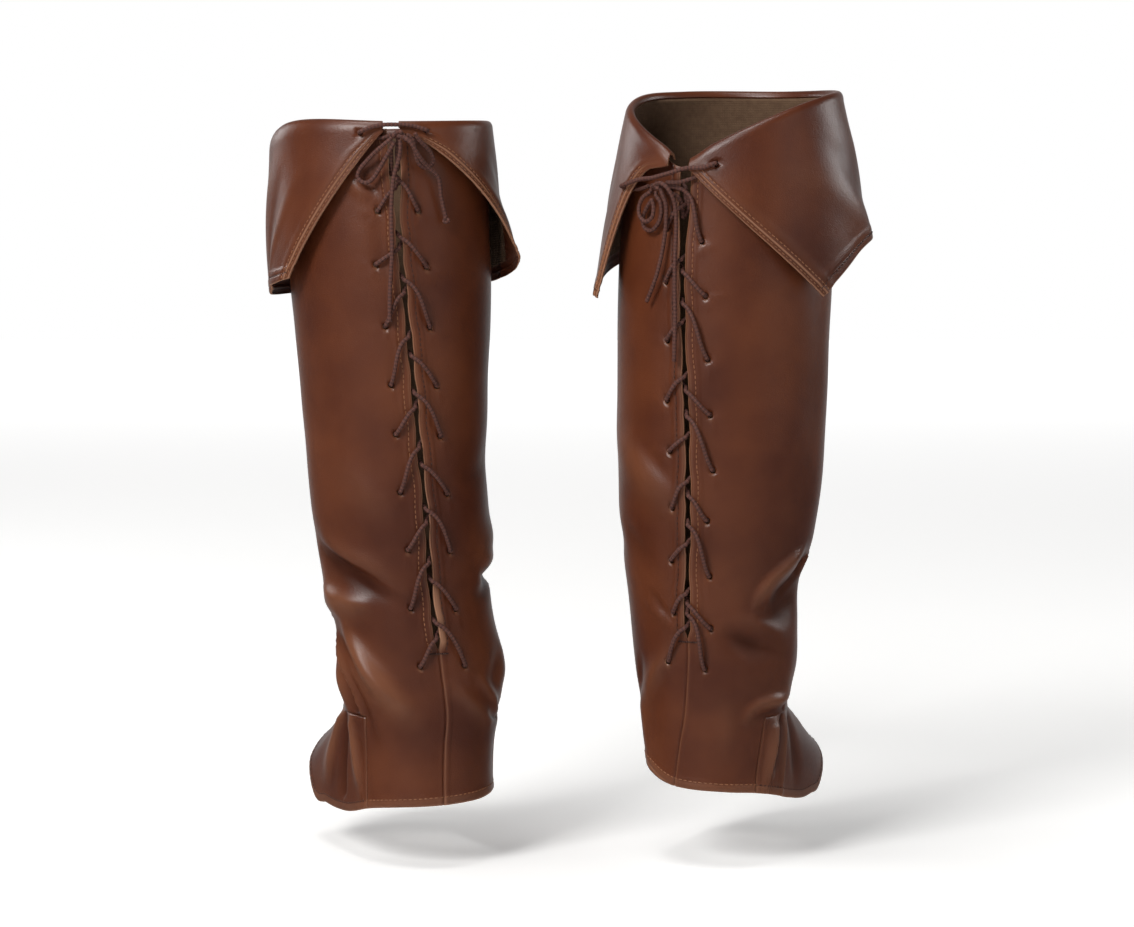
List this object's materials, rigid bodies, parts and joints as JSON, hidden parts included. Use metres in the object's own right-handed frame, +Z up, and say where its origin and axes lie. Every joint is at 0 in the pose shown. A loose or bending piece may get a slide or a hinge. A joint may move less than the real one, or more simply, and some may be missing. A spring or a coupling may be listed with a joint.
{
  "type": "pair of lace-up boot covers",
  "caption": "Pair of knee-high faux-leather boot covers in worn form, laced up the back, with flared turned-down cuffs and a spat-like piece over each instep.",
  "frame": {"origin": "midway between the two calves, level with the top of the calf just under the knots, where the pair is held by its wearer", "axes": "+Z up the legs, +Y the way the toes point (each foot turns out about 25 degrees), +X to the wearer's right, which is the picture's right as the pair is seen from behind"},
  "size_m": [0.4087, 0.1965, 0.4971],
  "materials": {
    "left_shaft": "smooth brown faux leather, soft broad sheen, fine grain, woven backing inside",
    "left_foot_piece": "smooth brown faux leather, creased over the instep",
    "left_cuff": "smooth brown faux leather, topstitched turned hem",
    "left_lacing": "dark brown round braid, matt",
    "left_tie": "dark brown round braid, matt",
    "left_knot": "dark brown round braid, matt",
    "left_bow_loop_1": "dark brown round braid, matt",
    "left_bow_loop_2": "dark brown round braid, matt",
    "left_lace_tail_1": "dark brown round braid, matt",
    "left_lace_tail_2": "dark brown round braid, matt",
    "right_shaft": "smooth brown faux leather, soft broad sheen, fine grain, woven backing inside",
    "right_foot_piece": "smooth brown faux leather, creased over the instep",
    "right_cuff": "smooth brown faux leather, topstitched turned hem",
    "right_lacing": "dark brown round braid, matt",
    "right_tie": "dark brown round braid, matt",
    "right_knot": "dark brown round braid, matt",
    "right_bow_loop_1": "dark brown round braid, matt",
    "right_bow_loop_2": "dark brown round braid, matt",
    "right_lace_tail_1": "dark brown round braid, matt",
    "right_lace_tail_2": "dark brown round braid, matt"
  },
  "bodies": {
    "root": {"left_shaft": "left_shaft", "left_foot_piece": "left_foot_piece", "left_cuff": "left_cuff", "left_lacing": "left_lacing", "left_tie": "left_tie", "left_knot": "left_knot", "left_bow_loop_1": "left_bow_loop_1", "left_bow_loop_2": "left_bow_loop_2", "left_lace_tail_1": "left_lace_tail_1", "left_lace_tail_2": "left_lace_tail_2", "right_shaft": "right_shaft", "right_foot_piece": "right_foot_piece", "right_cuff": "right_cuff", "right_lacing": "right_lacing", "right_tie": "right_tie", "right_knot": "right_knot", "right_bow_loop_1": "right_bow_loop_1", "right_bow_loop_2": "right_bow_loop_2", "right_lace_tail_1": "right_lace_tail_1", "right_lace_tail_2": "right_lace_tail_2"}
  },
  "joints": []
}
